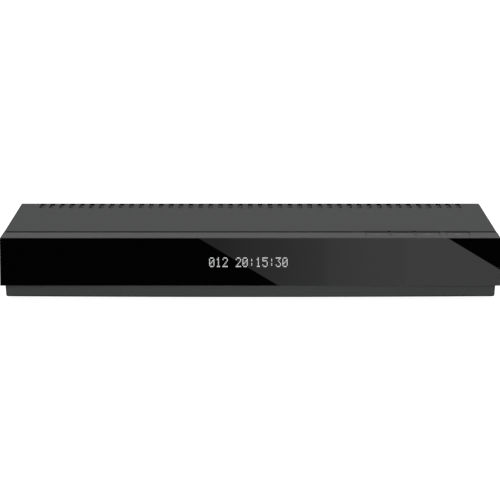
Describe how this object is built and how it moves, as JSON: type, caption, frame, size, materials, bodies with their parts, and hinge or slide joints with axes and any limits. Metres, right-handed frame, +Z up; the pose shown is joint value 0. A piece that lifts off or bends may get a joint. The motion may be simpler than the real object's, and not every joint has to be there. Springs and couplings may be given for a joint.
{
  "type": "satellite tv receiver",
  "caption": "Flat desktop satellite television receiver: folded grey cover with roof slots, full-width black front window, top keys, side card bay and rear sockets.",
  "frame": {"origin": "on the surface that the feet stand on, under the middle of the overall length and width", "axes": "+X to the viewer's right when facing the front, +Y to the back with the sockets, +Z up"},
  "size_m": [0.2826, 0.16, 0.0369],
  "materials": {
    "cover_paint": "satin anthracite grey paint",
    "tray_steel": "satin anthracite grey paint",
    "panel_steel": "satin dark grey paint",
    "foot_rubber": "matt black rubber",
    "screw_steel": "zinc plated",
    "bezel_plastic": "fine grained grey",
    "window_black": "polished black",
    "tape": "adhesive foam tape",
    "key_plastic": "fine grained grey",
    "black_plastic": "matt black",
    "board_green": "green solder mask",
    "display_glass": "dark display glass",
    "lens_dark": "dark infrared lens",
    "lamp": "red lamp",
    "light_pipe": "clear plastic",
    "socket_white": "white nylon",
    "cable_white": "flat cable film",
    "standoff_brass": "turned brass",
    "chip_black": "moulded black",
    "sink_aluminium": "anodised",
    "can_aluminium": "bare cans",
    "cage_steel": "tinned sheet",
    "bay_plastic": "fine grained dark grey",
    "socket_nickel": "nickel plated brass",
    "socket_steel": "nickel plated shell",
    "socket_black": "matt black",
    "contact_gold": "gold plated",
    "ring_colour": "coloured rings: red, white and yellow",
    "rocker_black": "black"
  },
  "bodies": {
    "case": {"top_cover": "cover_paint", "base_tray": "tray_steel", "rear_panel": "panel_steel", "rubber_feet": "foot_rubber", "case_screws": "screw_steel", "underside_screws": "screw_steel", "board_screws": "screw_steel", "small_screws": "screw_steel", "front_bezel": "bezel_plastic", "front_window": "window_black", "window_tape": "tape", "key_switches": "black_plastic", "key_board": "board_green", "front_board": "board_green", "main_board": "board_green", "display_frame": "black_plastic", "display_glass": "display_glass", "infrared_receiver": "lens_dark", "standby_lamp": "lamp", "light_pipe": "light_pipe", "ribbon_sockets": "socket_white", "flat_cable": "cable_white", "board_standoffs": "standoff_brass", "chips": "chip_black", "heat_sink": "sink_aluminium", "filter_capacitors": "can_aluminium", "choke_coils": "chip_black", "card_cage": "cage_steel", "card_header": "black_plastic", "smart_card_reader": "black_plastic", "card_bay_frame": "bay_plastic", "rod_guides": "black_plastic", "lever_rivet": "screw_steel", "tuner_can": "cage_steel", "aerial_sockets": "socket_nickel", "aerial_inserts": "socket_white", "aerial_nuts": "socket_nickel", "video_socket": "socket_steel", "video_tongue": "black_plastic", "network_socket": "socket_black", "network_contacts": "contact_gold", "bus_socket": "socket_steel", "bus_tongues": "black_plastic", "audio_block": "socket_black", "audio_rings": "ring_colour", "audio_sleeves": "socket_nickel", "audio_cores": "socket_white", "optical_socket": "socket_black", "scart_socket": "socket_black", "rocker_housing": "socket_black", "power_inlet": "socket_black", "power_inlet_pin": "socket_nickel"},
    "key_channel_down": {"key_channel_down": "key_plastic"},
    "key_channel_up": {"key_channel_up": "key_plastic"},
    "key_ok": {"key_ok": "key_plastic"},
    "key_standby": {"key_standby": "key_plastic"},
    "power_switch": {"power_rocker": "rocker_black"},
    "optical_door": {"optical_shutter": "socket_black"},
    "eject_button": {"eject_rod": "bay_plastic"},
    "eject_arm": {"eject_lever": "cage_steel"}
  },
  "joints": [
    {"name": "key_channel_down_press", "type": "slide", "parent": "case", "child": "key_channel_down", "axis": [0, 0, -1], "range_m": [0, 0.0005], "stiffness_N_per_m": 300, "springref_m": -0.002},
    {"name": "key_channel_up_press", "type": "slide", "parent": "case", "child": "key_channel_up", "axis": [0, 0, -1], "range_m": [0, 0.0005], "stiffness_N_per_m": 300, "springref_m": -0.002},
    {"name": "key_ok_press", "type": "slide", "parent": "case", "child": "key_ok", "axis": [0, 0, -1], "range_m": [0, 0.0005], "stiffness_N_per_m": 300, "springref_m": -0.002},
    {"name": "key_standby_press", "type": "slide", "parent": "case", "child": "key_standby", "axis": [0, 0, -1], "range_m": [0, 0.0005], "stiffness_N_per_m": 300, "springref_m": -0.002},
    {"name": "power_switch_tilt", "type": "hinge", "parent": "case", "child": "power_switch", "pos_m": [-0.106, 0.0682, 0.0184], "axis": [0, 0, -1], "range_deg": [0, 18]},
    {"name": "optical_door_swing", "type": "hinge", "parent": "case", "child": "optical_door", "pos_m": [-0.035, 0.06815, 0.0195], "axis": [-1, 0, 0], "range_deg": [0, 78], "stiffness_Nm_per_rad": 0.0004, "springref_deg": -34.38},
    {"name": "eject_button_slide", "type": "slide", "parent": "case", "child": "eject_button", "axis": [-1, 0, 0], "range_m": [0, 0.004]},
    {"name": "eject_arm_turn", "type": "hinge", "parent": "case", "child": "eject_arm", "pos_m": [0.0627, 0.0112, 0.0244], "axis": [0, 0, 1], "range_deg": [0, 15.3]}
  ],
  "couplings": [
    {"joint": "eject_arm_turn", "follows": "eject_button_slide", "rad_per_m": 66.667}
  ]
}
